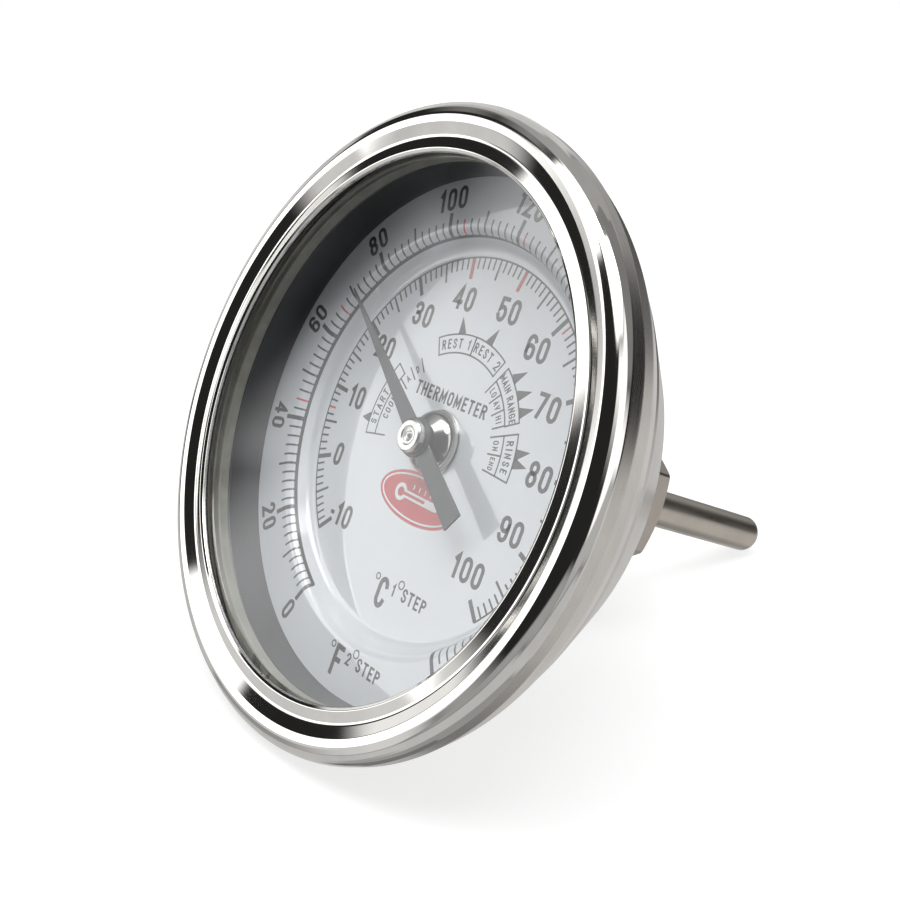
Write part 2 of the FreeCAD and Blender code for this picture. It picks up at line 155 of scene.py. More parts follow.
def lathe(name, corners, body, materials, replaces=(), segments=SEGMENTS):
    """Solid of revolution round the thermometer's axis, with exact smooth normals."""
    outline = rounded_outline(corners)
    keys, vertices = {}, []

    def vertex(point, k):
        on_axis = point.x < AXIS_RADIUS
        key = (round(point.x, 5), round(point.y, 5), 0 if on_axis else k % segments)
        if key not in keys:
            keys[key] = len(vertices)
            vertices.append(at(max(point.x, 0), point.y, 360.0 * k / segments))
        return keys[key]

    faces, normals, slots = [], [], []
    for a, b, normal_a, normal_b, material in outline:
        if max(a.x, b.x) < AXIS_RADIUS:
            continue
        for k in range(segments):
            corner = [(a, normal_a, k), (b, normal_b, k), (b, normal_b, k + 1), (a, normal_a, k + 1)]
            face, face_normals = [], []
            for point, normal, step in corner:
                index = vertex(point, step)
                if index in face:
                    continue
                angle = 2 * math.pi * step / segments
                face.append(index)
                face_normals.append(
                    (normal.x * math.sin(angle), -normal.y, normal.x * math.cos(angle)))
            faces.append(face)
            normals.extend(face_normals)
            slots.append(material)
    mesh = bpy.data.meshes.new(name)
    mesh.from_pydata(vertices, [], faces)
    mesh.polygons.foreach_set("material_index", slots)
    mesh.polygons.foreach_set("use_smooth", [True] * len(faces))
    mesh.normals_split_custom_set(normals)
    return finish_piece(mesh, name, body, materials, replaces)


# ---------------------------------------------------------------- materials
class Shader:
    """A material's node tree with short calls for the nodes that the finishes share."""

    def __init__(self, name):
        self.material = bpy.data.materials.new(name)
        self.material.use_nodes = True
        self.tree = self.material.node_tree
        self.tree.nodes.clear()
        self.output = self.tree.nodes.new("ShaderNodeOutputMaterial")
        self.surface = self.tree.nodes.new("ShaderNodeBsdfPrincipled")
        self.link(self.surface.outputs[0], self.output.inputs["Surface"])
        self.place = self.tree.nodes.new("ShaderNodeTexCoord").outputs["Object"]

    def link(self, source, target):
        self.tree.links.new(source, target)

    def set(self, **values):
        """Set plain values on the surface's sockets, with _ for a blank in their names."""
        for name, value in values.items():
            socket = self.surface.inputs[name.replace("_", " ")]
            socket.default_value = (*value, 1.0) if isinstance(value, tuple) else value

    def node(self, kind, *inputs, **settings):
        """A node whose inputs are sockets or values, in order."""
        node = self.tree.nodes.new(kind)
        for name, value in settings.items():
            setattr(node, name, value)
        for socket, value in zip(node.inputs, inputs):
            if isinstance(value, bpy.types.NodeSocket):
                self.link(value, socket)
            elif value is not None:
                socket.default_value = value
        return node

    def math(self, operation, *inputs):
        return self.node("ShaderNodeMath", *inputs, operation=operation).outputs[0]

    def vector(self, operation, *inputs):
        return self.node("ShaderNodeVectorMath", *inputs, operation=operation).outputs[0]

    def noise(self, where, scale, detail=2.0, roughness=0.5):
        """Noise from about 0 to 1, with its scale in features per metre."""
        node = self.tree.nodes.new("ShaderNodeTexNoise")
        self.link(where, node.inputs["Vector"])
        node.inputs["Scale"].default_value = scale
        node.inputs["Detail"].default_value = detail
        node.inputs["Roughness"].default_value = roughness
        return node.outputs["Fac"]

    def span(self, value, low, high, new_low, new_high):
        """A value from low to high, mapped to new_low to new_high and held there."""
        node = self.tree.nodes.new("ShaderNodeMapRange")
        self.link(value, node.inputs["Value"])
        for name, number in (("From Min", low), ("From Max", high),
                             ("To Min", new_low), ("To Max", new_high)):
            node.inputs[name].default_value = number
        return node.outputs["Result"]

    def blend(self, factor, first, second):
        """Colour mix. first and second are colours or sockets."""
        node = self.tree.nodes.new("ShaderNodeMix")
        node.data_type = "RGBA"
        self.link(factor, node.inputs["Factor"])
        sockets = [s for s in node.inputs if s.type == "RGBA"]
        for socket, value in zip(sockets, (first, second)):
            if isinstance(value, tuple):
                socket.default_value = (*value, 1.0)
            else:
                self.link(value, socket)
        return [s for s in node.outputs if s.type == "RGBA"][0]

    def bump(self, height, distance, strength=1.0):
        """Bump of a height from 0 to 1, with its depth in metres."""
        node = self.tree.nodes.new("ShaderNodeBump")
        node.inputs["Strength"].default_value = strength
        node.inputs["Distance"].default_value = distance
        self.link(height, node.inputs["Height"])
        self.link(node.outputs["Normal"], self.surface.inputs["Normal"])
        return node

    def turned(self, pitch=9000.0, drift=120.0):
        """Coordinates that vary fast across and slowly along circles round the stem's axis."""
        axes = self.node("ShaderNodeSeparateXYZ", self.place).outputs
        radius = self.math("SQRT", self.math(
            "ADD", self.math("MULTIPLY", axes[0], axes[0]), self.math("MULTIPLY", axes[2], axes[2])))
        across = self.node("ShaderNodeCombineXYZ", radius, axes[1], 0.0).outputs[0]
        fast = self.vector("MULTIPLY", across, (pitch, pitch, pitch))
        slow = self.vector("MULTIPLY", self.place, (drift, 0.0, drift))
        return self.vector("ADD", fast, slow)

    def drawn(self, pitch=9000.0, drift=120.0):
        """Coordinates that vary fast round the stem's axis and slowly along it."""
        return self.vector("MULTIPLY", self.place, (pitch, drift, pitch))


def metal(name, colour, roughness, spread=0.05, anisotropy=0.0, grain=1.5e-6, waves=0.0,
          pitch=9000.0, drift=120.0, drawn=False):
    """Turned, drawn or polished metal: grain, uneven gloss, faint stains and slow waves."""
    shader = Shader(name)
    shader.set(Metallic=1.0, Anisotropic=anisotropy)
    grain_place = shader.drawn(pitch, drift) if drawn else shader.turned(pitch, drift)
    lines = shader.noise(grain_place, 1.0, 3.0, 0.65)
    stains = shader.noise(shader.place, 90.0, 4.0, 0.6)
    dark = tuple(channel * 0.86 for channel in colour)
    shader.link(
        shader.blend(shader.span(stains, 0.35, 0.7, 0.0, 1.0), colour, dark),
        shader.surface.inputs["Base Color"])
    worn = shader.math("ADD", shader.math("MULTIPLY", lines, 0.6),
                       shader.math("MULTIPLY", stains, 0.4))
    shader.link(
        shader.span(worn, 0.3, 0.7, max(roughness - spread, 0.02), roughness + spread),
        shader.surface.inputs["Roughness"])
    if anisotropy:
        tangent = shader.tree.nodes.new("ShaderNodeTangent")
        tangent.direction_type, tangent.axis = "RADIAL", "Y"
        shader.link(tangent.outputs[0], shader.surface.inputs["Tangent"])
    height = lines
    if waves:
        slow = shader.noise(shader.place, 55.0, 2.0, 0.5)
        height = shader.math("ADD", lines, shader.math("MULTIPLY", slow, waves))
    shader.bump(height, grain)
    return shader.material


def enamel(name, colour, roughness, coat=1.0, coat_roughness=0.04, coat_ior=1.5, peel=2.0e-6):
    """Printed or painted layer under clear lacquer, with a faint orange peel and specks of dust."""
    shader = Shader(name)
    shader.set(Roughness=roughness, Coat_Weight=coat, Coat_Roughness=coat_roughness,
               Coat_IOR=coat_ior)
    cloud = shader.noise(shader.place, 60.0, 3.0, 0.55)
    specks = shader.span(shader.noise(shader.place, 1400.0, 1.0, 0.5), 0.78, 0.82, 0.0, 0.25)
    dull = tuple(channel * 0.965 for channel in colour)
    dust = tuple(channel * 0.7 + 0.12 for channel in colour)
    base = shader.blend(shader.span(cloud, 0.35, 0.65, 0.0, 1.0), colour, dull)
    shader.link(shader.blend(specks, base, dust), shader.surface.inputs["Base Color"])
    shader.bump(shader.noise(shader.place, 700.0, 2.0, 0.5), peel)
    return shader.material


def rubber(name, colour):
    """Matt moulded rubber with bloom and fine pits."""
    shader = Shader(name)
    bloom = shader.noise(shader.place, 240.0, 4.0, 0.6)
    pits = shader.noise(shader.place, 2600.0, 3.0, 0.6)
    pale = tuple(min(channel * 1.35 + 0.01, 1.0) for channel in colour)
    shader.link(
        shader.blend(shader.span(bloom, 0.4, 0.75, 0.0, 1.0), colour, pale),
        shader.surface.inputs["Base Color"])
    shader.link(shader.span(bloom, 0.3, 0.7, 0.5, 0.72), shader.surface.inputs["Roughness"])
    shader.bump(pits, 1.2e-5)
    return shader.material


def window():
    """Clear pane. A ray meets one face from outside, which mirrors the share of both faces."""
    shader = Shader("window_glass")
    tree = shader.tree
    tree.nodes.remove(shader.surface)
    clear = tree.nodes.new("ShaderNodeBsdfTransparent")
    clear.inputs["Color"].default_value = (0.985, 0.99, 0.99, 1.0)
    mirror = tree.nodes.new("ShaderNodeBsdfGlossy")
    mirror.inputs["Roughness"].default_value = 0.0
    share = tree.nodes.new("ShaderNodeFresnel")
    share.inputs["IOR"].default_value = 1.8
    leaving = tree.nodes.new("ShaderNodeNewGeometry").outputs["Backfacing"]
    entering = shader.math("SUBTRACT", 1.0, leaving)
    mix = tree.nodes.new("ShaderNodeMixShader")
    shader.link(shader.math("MULTIPLY", share.outputs[0], entering), mix.inputs[0])
    shader.link(clear.outputs[0], mix.inputs[1])
    shader.link(mirror.outputs[0], mix.inputs[2])
    shader.link(mix.outputs[0], shader.output.inputs["Surface"])
    return shader.material


POLISHED = metal("bezel_polish", (0.82, 0.80, 0.765), 0.06, 0.02, grain=5e-7, waves=7.0)
SATIN = metal("bezel_satin", (0.72, 0.685, 0.64), 0.27, 0.06, anisotropy=0.55, grain=1.6e-6)
CASE = metal("case_satin", (0.72, 0.69, 0.65), 0.3, 0.06, anisotropy=0.4, grain=1.6e-6)
FITTING = metal("fitting_satin", (0.56, 0.51, 0.455), 0.33, 0.07, grain=2.2e-6, pitch=6000.0)
STEM = metal("stem_satin", (0.64, 0.585, 0.515), 0.32, 0.07, grain=1.2e-6, pitch=3000.0,
             drift=60.0, drawn=True)
# Spacer ring: a dark grey part whose colour is darkened further, as painted shade for its shaded wall
# under the rim.
SPACER_SHADE_DARKENED = metal("spacer_dark_painted_shade", (0.10, 0.10, 0.104), 0.4, 0.03, grain=2e-7)
DOME = metal("dome_nickel", (0.66, 0.65, 0.625), 0.12, 0.05, grain=1.2e-6, waves=1.5)
HUB = metal("hub_nickel", (0.72, 0.705, 0.67), 0.24, 0.09, grain=4.0e-6, pitch=12000.0)
BRASS = metal("bearing_brass", (0.72, 0.52, 0.22), 0.25, 0.06, grain=1.6e-6)
BIMETAL = metal("bimetal_strip", (0.55, 0.48, 0.38), 0.35, 0.08, grain=1.2e-6)
SPINDLE = metal("spindle_steel", (0.56, 0.55, 0.54), 0.2, 0.05, grain=8e-7, pitch=16000.0)
DIAL = enamel("dial_enamel", (0.73, 0.755, 0.79), 0.45, coat_roughness=0.03, coat_ior=1.8,
              peel=5e-7)
INK = enamel("ink_black", (0.014, 0.014, 0.016), 0.5)
RED = enamel("ink_red", (0.60, 0.022, 0.03), 0.5)
WHITE = enamel("ink_white", (0.86, 0.86, 0.86), 0.5)
POINTER = enamel("pointer_black", (0.045, 0.047, 0.05), 0.4, coat=0.6, coat_roughness=0.28,
                 peel=4.0e-6)
SEAL = rubber("seal_rubber", (0.012, 0.012, 0.012))
GASKET = rubber("gasket_rubber", (0.26, 0.255, 0.22))
GLASS = window()


# ---------------------------------------------------------------- case and window
def make_bezel():
    """Polished lip, bead and rolled rim in front, a satin skirt that tapers behind."""
    lathe("bezel", [
        (35.7, 12.75, 0.25),
        (35.7, 13.35, 0.25),
        (36.15, 13.62, 0.3),
        (37.75, 13.38, 0.9),
        (39.45, 14.2, 0.35),
        (40.5, 14.33, 1.1),
        (41.65, 13.97, 1.5),
        (42.38, 13.15, 1.5),
        (42.6, 12.3, 1.0),
        (42.6, 12.15, 0.1, 1),
        (42.52, 10.2, 1.5, 1),
        (41.35, 7.0, 5.0, 1),
        (39.42, 3.9, 0.2, 1),
        (38.8, 3.95, 0.1, 1),
        (40.6, 7.0, 2.0, 1),
        (41.7, 10.0, 0.5),
        (41.7, 12.6, 0.6),
        (38.8, 12.7, 0.1),
    ], "housing", [POLISHED, SATIN], ["bezel_ring"], segments=720)


def make_case():
    """Drawn shell behind the bezel: tapered side, rounded rear corner and coned back."""
    lathe("case", [
        (8.1, -17.0, 0.05),
        (12.5, -17.0, 2.0),
        (29.3, -10.1, 1.2),
        (30.9, -9.0, 1.0),
        (38.35, 2.1, 0.5),
        (38.7, 3.4, 0.3),
        (38.7, 11.7, 0.1),
        (41.3, 11.7, 0.1),
        (41.3, 12.3, 0.1),
        (38.1, 12.3, 0.1),
        (38.1, 3.4, 0.1),
        (37.7, 2.1, 0.1),
        (30.5, -8.7, 0.4),
        (29.1, -9.5, 0.6),
        (12.5, -16.4, 1.4),
        (8.1, -16.4, 0.05),
    ], "housing", [CASE], ["case_shell"], segments=480)


def make_window():
    """Ground-edge glass between the seal and the gasket, and the wall of the spacer ring."""
    lathe("window", [
        (0, 10.35, 0), (37.9, 10.35, 0.25), (37.9, 12.35, 0.25), (0, 12.35, 0),
    ], "housing", [GLASS], ["window_glass"])
    lathe("seal", [
        (36.0, 12.35, 0.08), (37.9, 12.35, 0.05), (37.9, 12.65, 0.05), (36.0, 12.65, 0.12),
    ], "housing", [SEAL], ["bezel_seal"])
    lathe("gasket", [
        (36.1, 8.65, 0.25), (37.9, 8.65, 0.1), (37.9, 10.35, 0.1), (36.1, 10.35, 0.25),
    ], "housing", [GASKET], ["window_gasket"])
    lathe("spacer", [
        (36.2, 3.1, 0.1), (36.7, 3.1, 0.1), (36.7, 8.15, 0.2), (37.9, 8.15, 0.1),
        (37.9, 8.65, 0.1), (36.2, 8.65, 0.35),
    ], "housing", [SPACER_SHADE_DARKENED], ["spacer_ring"])


SHOULDER_FILLET = 1.5
SHOULDER_EASE = 0.35
DIAL_CORNERS = [
    (DIAL_HOLE_RADIUS, 0, 0.05),
    (SHOULDER_FOOT + SHOULDER_EASE, 0, SHOULDER_FILLET),
    (SHOULDER_TOP - SHOULDER_EASE, OUTER_DIAL_HEIGHT, SHOULDER_FILLET),
    (DIAL_RADIUS, OUTER_DIAL_HEIGHT, 0.1),
    (DIAL_RADIUS, OUTER_DIAL_HEIGHT - DIAL_SHEET, 0.1),
    (SHOULDER_TOP - SHOULDER_EASE + 0.15, OUTER_DIAL_HEIGHT - DIAL_SHEET, SHOULDER_FILLET),
    (SHOULDER_FOOT + SHOULDER_EASE + 0.15, -DIAL_SHEET, SHOULDER_FILLET),
    (DIAL_HOLE_RADIUS, -DIAL_SHEET, 0.05),
]
FACE = sorted(
    (tuple(point) for segment in rounded_outline(DIAL_CORNERS) for point in segment[:2]
     if segment[2].y > 0.3 and segment[3].y > 0.3),
)


def dial_height(radius):
    """Height of the dial's printed face at this radius."""
    for (low, low_height), (high, high_height) in zip(FACE, FACE[1:]):
        if low <= radius <= high and high > low:
            return low_height + (high_height - low_height) * (radius - low) / (high - low)
    return FACE[0][1] if radius < FACE[0][0] else FACE[-1][1]


def make_dial():
    """Stepped dial with a rounded shoulder, and the dome over the rivet end at its centre."""
    lathe("dial", DIAL_CORNERS, "housing", [DIAL], ["dial_plate"], segments=480)
    lathe("dome", [
        (4.1, 0, 0.05),
        (4.65, 0, 0.08),
        (4.65, 0.22, 0.08),
        (4.48, 0.25, 0.05),
        (4.45, 1.44, 1.95),
        (1.84, 3.02, 2.7),
        (1.0, 3.05, 0.1),
        (1.0, 2.65, 0.05),
        (1.9, 2.6, 2.0),
        (4.05, 1.2, 1.6),
    ], "housing", [DOME], ["dial_dome"])


# ---------------------------------------------------------------- dial print
def bend(across, up, wide, high, start, end, steps=10):
    """Points of an elliptical arc, from angle start to angle end in degrees."""
    angles = [math.radians(start + (end - start) * k / steps) for k in range(steps + 1)]
    return [(across + wide * math.cos(a), up + high * math.sin(a)) for a in angles]


def upside_down(strokes):
    """The same strokes turned by half a turn in the unit square."""
    return [(closed, [(1 - x, 1 - y) for x, y in points]) for closed, points in strokes]


LOOP = bend(0.5, 0.74, 0.5, 0.26, 180, 0) + bend(0.5, 0.26, 0.5, 0.26, 0, -180)
CUP = bend(0.5, 0.74, 0.5, 0.26, 12, 180) + bend(0.5, 0.26, 0.5, 0.26, 180, 348)
BOWL = bend(0.5, 0.77, 0.5, 0.23, 90, -90)
SIX = [
    (True, bend(0.5, 0.36, 0.5, 0.22, 180, 0) + bend(0.5, 0.22, 0.5, 0.22, 0, -180)),
    (False, bend(0.5, 0.76, 0.5, 0.24, 15, 180) + [(0, 0.3)]),
]
# Each glyph is (width over height, strokes), a stroke is (closed, points of its centre line), and the
# points span the unit square.
GLYPHS = {
    "0": (0.53, [(True, LOOP)]),
    "1": (0.34, [(False, [(0.0, 0.80), (0.75, 1.0), (0.75, 0.0)])]),
    "2": (0.53, [(False, bend(0.5, 0.74, 0.5, 0.26, 170, -20) + [(0, 0), (1, 0)])]),
    "3": (0.53, [
        (False, bend(0.48, 0.76, 0.5, 0.24, 165, -75) + [(0.35, 0.53)]),
        (False, [(0.35, 0.53)] + bend(0.48, 0.265, 0.52, 0.265, 75, -165)),
    ]),
    "4": (0.56, [(False, [(0.74, 0.0), (0.74, 1.0), (0.0, 0.26), (1.0, 0.26)])]),
    "5": (0.53, [(False, [(0.95, 1.0), (0.1, 1.0), (0.04, 0.5)]
                  + bend(0.48, 0.31, 0.52, 0.31, 125, -160))]),
    "6": (0.53, SIX),
    "7": (0.51, [(False, [(0.0, 1.0), (1.0, 1.0), (0.32, 0.0)])]),
    "8": (0.53, [
        (True, bend(0.5, 0.77, 0.46, 0.23, 0, 360, 18)[:-1]),
        (True, bend(0.5, 0.27, 0.5, 0.27, 0, 360, 18)[:-1]),
    ]),
    "9": (0.53, upside_down(SIX)),
    "-": (0.30, [(False, [(0.2, 0.40), (0.8, 0.40)])]),
    " ": (0.25, []),
    "A": (0.56, [(False, [(0, 0), (0.5, 1), (1, 0)]), (False, [(0.22, 0.28), (0.78, 0.28)])]),
    "C": (0.50, [(False, CUP)]),
    "D": (0.50, [(True, [(0, 0), (0, 1), (0.4, 1)] + bend(0.4, 0.5, 0.6, 0.5, 60, -60)
                  + [(0.4, 0)])]),
    "E": (0.46, [(False, [(1, 1), (0, 1), (0, 0), (1, 0)]), (False, [(0, 0.52), (0.8, 0.52)])]),
    "F": (0.46, [(False, [(1, 1), (0, 1), (0, 0)]), (False, [(0, 0.52), (0.8, 0.52)])]),
    "G": (0.54, [(False, CUP[:-1] + [(1, 0.2), (1, 0.46), (0.55, 0.46)])]),
    "H": (0.52, [(False, [(0, 0), (0, 1)]), (False, [(1, 0), (1, 1)]),
                 (False, [(0, 0.52), (1, 0.52)])]),
    "I": (0.17, [(False, [(0.5, 0), (0.5, 1)])]),
    "L": (0.42, [(False, [(0, 1), (0, 0), (1, 0)])]),
    "M": (0.66, [(False, [(0, 0), (0, 1), (0.5, 0.2), (1, 1), (1, 0)])]),
    "N": (0.54, [(False, [(0, 0), (0, 1), (1, 0), (1, 1)])]),
    "O": (0.54, [(True, LOOP)]),
    "P": (0.50, [(False, [(0, 0), (0, 1)] + BOWL + [(0, 0.54)])]),
    "R": (0.52, [(False, [(0, 0), (0, 1)] + BOWL + [(0, 0.54)]), (False, [(0.5, 0.54), (1, 0)])]),
    "S": (0.50, [(False, bend(0.5, 0.765, 0.5, 0.235, 12, 190) + [(0.2, 0.58), (0.8, 0.44)]
                  + bend(0.5, 0.25, 0.5, 0.25, 10, -168))]),
    "T": (0.50, [(False, [(0, 1), (1, 1)]), (False, [(0.5, 0), (0.5, 1)])]),
    "V": (0.54, [(False, [(0, 1), (0.5, 0), (1, 1)])]),
    "U": (0.52, [(False, [(0, 1)] + bend(0.5, 0.26, 0.5, 0.26, 180, 360) + [(1, 1)])]),
}
GLYPH_GAP = 0.15
INK_RAISE = 0.016
INK_SINK = 0.03
LONGEST_STEP = 0.6
LONGEST_STEP_ON_SHOULDER = 0.2


class Print:
    """Ink of one colour: thin closed prisms that follow the dial's face. Sizes in millimetres."""

    def __init__(self, raise_by=INK_RAISE):
        self.vertices, self.faces, self.raise_by = [], [], raise_by

    def point(self, across, up, lift):
        """Index of a new vertex, lifted off the dial's face."""
        height = dial_height(math.hypot(across, up)) + lift
        self.vertices.append((across * MM, DIAL_FACE_Y - height * MM, up * MM))
        return len(self.vertices) - 1

    def stroke(self, points, width, closed=False, end_width=None, cap=True):
        """A line of this width along points; it tapers to end_width, and cap squares its ends."""
        points = [Vector(p) for p in points]
        if not closed and cap:
            points[0] = points[0] + (points[0] - points[1]).normalized() * width / 2
            points[-1] = points[-1] + (points[-1] - points[-2]).normalized() * width / 2
        dense = []
        pairs = list(zip(points, points[1:] + points[:1]))
        for a, b in pairs if closed else pairs[:-1]:
            curved = max(a.length, b.length) > SHOULDER_FOOT - 0.5
            longest = LONGEST_STEP_ON_SHOULDER if curved else LONGEST_STEP
            steps = max(1, math.ceil((b - a).length / longest))
            dense.extend(a.lerp(b, k / steps) for k in range(steps))
        if not closed:
            dense.append(points[-1])
        count = len(dense)
        rows = []
        for k, here in enumerate(dense):
            before = here - dense[k - 1] if closed or k else dense[1] - here
            after = dense[(k + 1) % count] - here if closed or k < count - 1 else before
            sides = [Vector((-d.y, d.x)).normalized() for d in (before, after)]
            mitre = (sides[0] + sides[1]).normalized()
            wide = width if end_width is None else width + (end_width - width) * k / (count - 1)
            offset = mitre * wide / 2 / max(mitre.dot(sides[0]), 0.45)
            rows.append([
                self.point(*(here + offset * side), lift)
                for side, lift in ((1, self.raise_by), (-1, self.raise_by),
                                   (-1, -INK_SINK), (1, -INK_SINK))
            ])
        for a, b in zip(rows, rows[1:] + (rows[:1] if closed else [])):
            self.faces.extend((a[k], a[(k + 1) % 4], b[(k + 1) % 4], b[k]) for k in range(4))
        if not closed:
            self.faces.append(tuple(reversed(rows[0])))
            self.faces.append(tuple(rows[-1]))

    def area(self, outline):
        """A filled shape on a flat part of the dial."""
        top = [self.point(*p, self.raise_by) for p in outline]
        bottom = [self.point(*p, -INK_SINK) for p in outline]
        self.faces += [tuple(top), tuple(reversed(bottom))]
        count = len(outline)
        for k in range(count):
            after = (k + 1) % count
            self.faces.append((top[k], bottom[k], bottom[after], top[after]))

    def text(self, words, centre, height, weight, turn=0.0, stretch=1.0, gap=GLYPH_GAP):
        """Words centred on a point, upright when turn is 0; weight is stroke width over height."""
        widths = [GLYPHS[c][0] * stretch * height for c in words]
        total = sum(widths) + gap * height * (len(words) - 1)
        angle, line = -math.radians(turn), weight * height
        left = -total / 2
        for letter, wide in zip(words, widths):
            for closed, points in GLYPHS[letter][1]:
                placed = [
                    (left + line / 2 + x * (wide - line), (y - 0.5) * (height - line))
                    for x, y in points
                ]
                self.stroke([Vector(centre) + rotated(Vector(p), angle) for p in placed],
                            line, closed)
            left += wide + gap * height

    def text_on_arc(self, words, radius, turn, height, weight, stretch=1.0, gap=GLYPH_GAP):
        """Words along a circle, centred on a turn, with their tops outward."""
        widths = [GLYPHS[c][0] * stretch * height for c in words]
        total = sum(widths) + gap * height * (len(words) - 1)
        along = -total / 2
        for letter, wide in zip(words, widths):
            here = turn + math.degrees((along + wide / 2) / radius)
            self.text(letter, polar(radius, here), height, weight, here, stretch)
            along += wide + gap * height

    def arc(self, radius, start, end, width):
        """A line along a circle between two turns."""
        steps = max(2, math.ceil(abs(end - start) / 2))
        turns = [start + (end - start) * k / steps for k in range(steps + 1)]
        self.stroke([polar(radius, turn) for turn in turns], width)

    def ray(self, turn, inner, outer, width, end_width=None, cap=False):
        """A radial line at a turn."""
        self.stroke([polar(inner, turn), polar(outer, turn)], width, False, end_width, cap)

    def circle(self, centre, radius, width):
        """A ring of this mean radius."""
        points = [Vector(centre) + Vector(p) for p in bend(0, 0, radius, radius, 0, 360, 28)[:-1]]
        self.stroke(points, width, closed=True)

    def finish(self, name, material, slot):
        """The mesh of all strokes so far, as a piece on the housing."""
        mesh = bpy.data.meshes.new(name)
        mesh.from_pydata(self.vertices, [], self.faces)
        return finish_piece(mesh, name, "housing", [material])


def polar(radius, turn):
    """(across, up) of a point on the dial."""
    angle = math.radians(turn)
    return radius * math.sin(angle), radius * math.cos(angle)


# Each scale: its values, the turn of zero and of one degree, its circle, and where its marks end.
CELSIUS = {
    "low": -10, "high": 100, "mark_step": 1, "numeral_step": 10,
    "zero_turn": -110.45, "per_degree": 270 / 110,
    "circle": CELSIUS_RADIUS, "circle_line": 0.24,
    "mark_ends": {"minor": 24.35, "medium": 23.1, "major": 22.95},
    "red_marks": (7, 19, 40, 50, 61),
}
FAHRENHEIT = {
    "low": 0, "high": 220, "mark_step": 2, "numeral_step": 20,
    "zero_turn": -154.1, "per_degree": 300 / 220,
    "circle": FAHRENHEIT_RADIUS, "circle_line": 0.22,
    "mark_ends": {"minor": 30.4, "medium": 31.5, "major": 31.6},
    "red_marks": (44, 66, 104, 122),
}
MARK_WIDTHS = {"minor": 0.285, "medium": 0.35, "major": 0.64}
NUMERAL_WEIGHT = 0.168
CELSIUS_NUMERAL_HEIGHT = 3.45
CELSIUS_NUMERAL_RADIUS = 20.2
FAHRENHEIT_NUMERAL_HEIGHT = 3.3
FAHRENHEIT_NUMERAL_RADIUS = 33.6
NUMERAL_SHIFTS = {
    # Celsius value: millimetres to the right and up from its place on the circle of numerals
    -10: (-0.2, -0.75), 0: (-0.85, -0.3), 30: (0.1, -0.3), 40: (-0.35, 0.0), 50: (0.4, 0.0),
    70: (-0.25, 0.0), 90: (-0.1, 0.85), 100: (-0.2, 1.15),
}


def scale_turn(scale, value):
    """Turn of a value on its scale."""
    return scale["zero_turn"] + value * scale["per_degree"]


def mark_kind(scale, value):
    """Major at each numeral, medium halfway between them, else minor."""
    if value % scale["numeral_step"] == 0:
        return "major"
    if value % (scale["numeral_step"] // 2) == 0:
        return "medium"
    return "minor"


def print_marks(scale, black, red):
    """The circle of a scale and its marks, a few of them red."""
    low, high = (scale_turn(scale, scale[end]) for end in ("low", "high"))
    black.arc(scale["circle"], low, high, scale["circle_line"])
    for value in range(scale["low"], scale["high"] + 1, scale["mark_step"]):
        ink = red if value in scale["red_marks"] else black
        kind = mark_kind(scale, value)
        inner, outer = sorted((scale["circle"], scale["mark_ends"][kind]))
        ink.ray(scale_turn(scale, value), inner, outer, MARK_WIDTHS[kind])


def numeral_values(scale):
    """The values that have a numeral."""
    return range(scale["low"], scale["high"] + 1, scale["numeral_step"])


def print_celsius(black, red):
    """Inner scale: marks that point inward, and upright numerals."""
    print_marks(CELSIUS, black, red)
    for value in numeral_values(CELSIUS):
        across, up = polar(CELSIUS_NUMERAL_RADIUS, scale_turn(CELSIUS, value))
        right, above = NUMERAL_SHIFTS.get(value, (0.0, 0.0))
        black.text(str(value), (across + right, up + above),
                   CELSIUS_NUMERAL_HEIGHT, NUMERAL_WEIGHT)


def print_fahrenheit(black, red):
    """Outer scale: marks that point outward, and numerals turned to face in or out."""
    print_marks(FAHRENHEIT, black, red)
    for value in numeral_values(FAHRENHEIT):
        turn = scale_turn(FAHRENHEIT, value)
        tops_inward = not 50 < value < 170
        black.text(str(value), polar(FAHRENHEIT_NUMERAL_RADIUS, turn),
                   FAHRENHEIT_NUMERAL_HEIGHT, NUMERAL_WEIGHT,
                   turn + 180 if tops_inward else turn, stretch=0.98)


UNITS = [
    # unit, degrees per mark, place of the unit to the right and up, height of the step above it
    ("C", "1", -0.2, -21.6, 1.15),
    ("F", "2", -0.55, -32.05, 1.115),
]


def print_units(black):
    """Unit signs with the step of each scale beside them."""
    for unit, step, across, up, step_up in UNITS:
        black.text(unit, (across, up), 4.4, 0.16, stretch=0.98)
        black.circle((across - 1.75, up + 1.75), 0.42, 0.2)
        black.text(step, (across + 2.2, up + step_up), 1.75, 0.17)
        black.circle((across + 3.4, up + 2.3), 0.55, 0.2)
        black.text("STEP", (across + 6.7, up + 1.25), 1.9, 0.17, stretch=1.1, gap=0.19)


SECTORS = [
    # inner radius, outer radius, start turn, end turn
    (12.6, 15.2, -27.0, 2.0),
    (12.6, 15.2, 2.0, 29.0),
    (12.7, 15.2, 33.5, 64.0),
    (12.7, 15.2, 69.5, 93.4),
    (13.5, 15.6, -100.0, -58.0),
]
CELLS = [
    # inner radius, outer radius, turns of the dividing lines
    (10.4, 12.7, (33.5, 43.5, 53.5, 63.5)),
    (10.2, 12.7, (69.5, 81.5, 93.4)),
    (11.2, 13.5, (-100.0, -62.0, -52.0, -42.0)),
]
SPIKES = [
    # tip radius, base radius, tip turn, lean of the base in degrees
    (17.6, 15.2, -11.5, 1.6),
    (17.6, 15.2, 13.8, -1.6),
    (17.7, 15.2, 42.6, -1.8),
    (17.7, 15.2, 52.0, -1.8),
    (17.7, 15.2, 59.8, -0.6),
    (17.7, 15.2, 77.9, 1.6),
    (17.7, 15.2, 84.4, -0.8),
    (17.4, 15.6, -92.7, 1.0),
]
SECTOR_LINE = 0.22
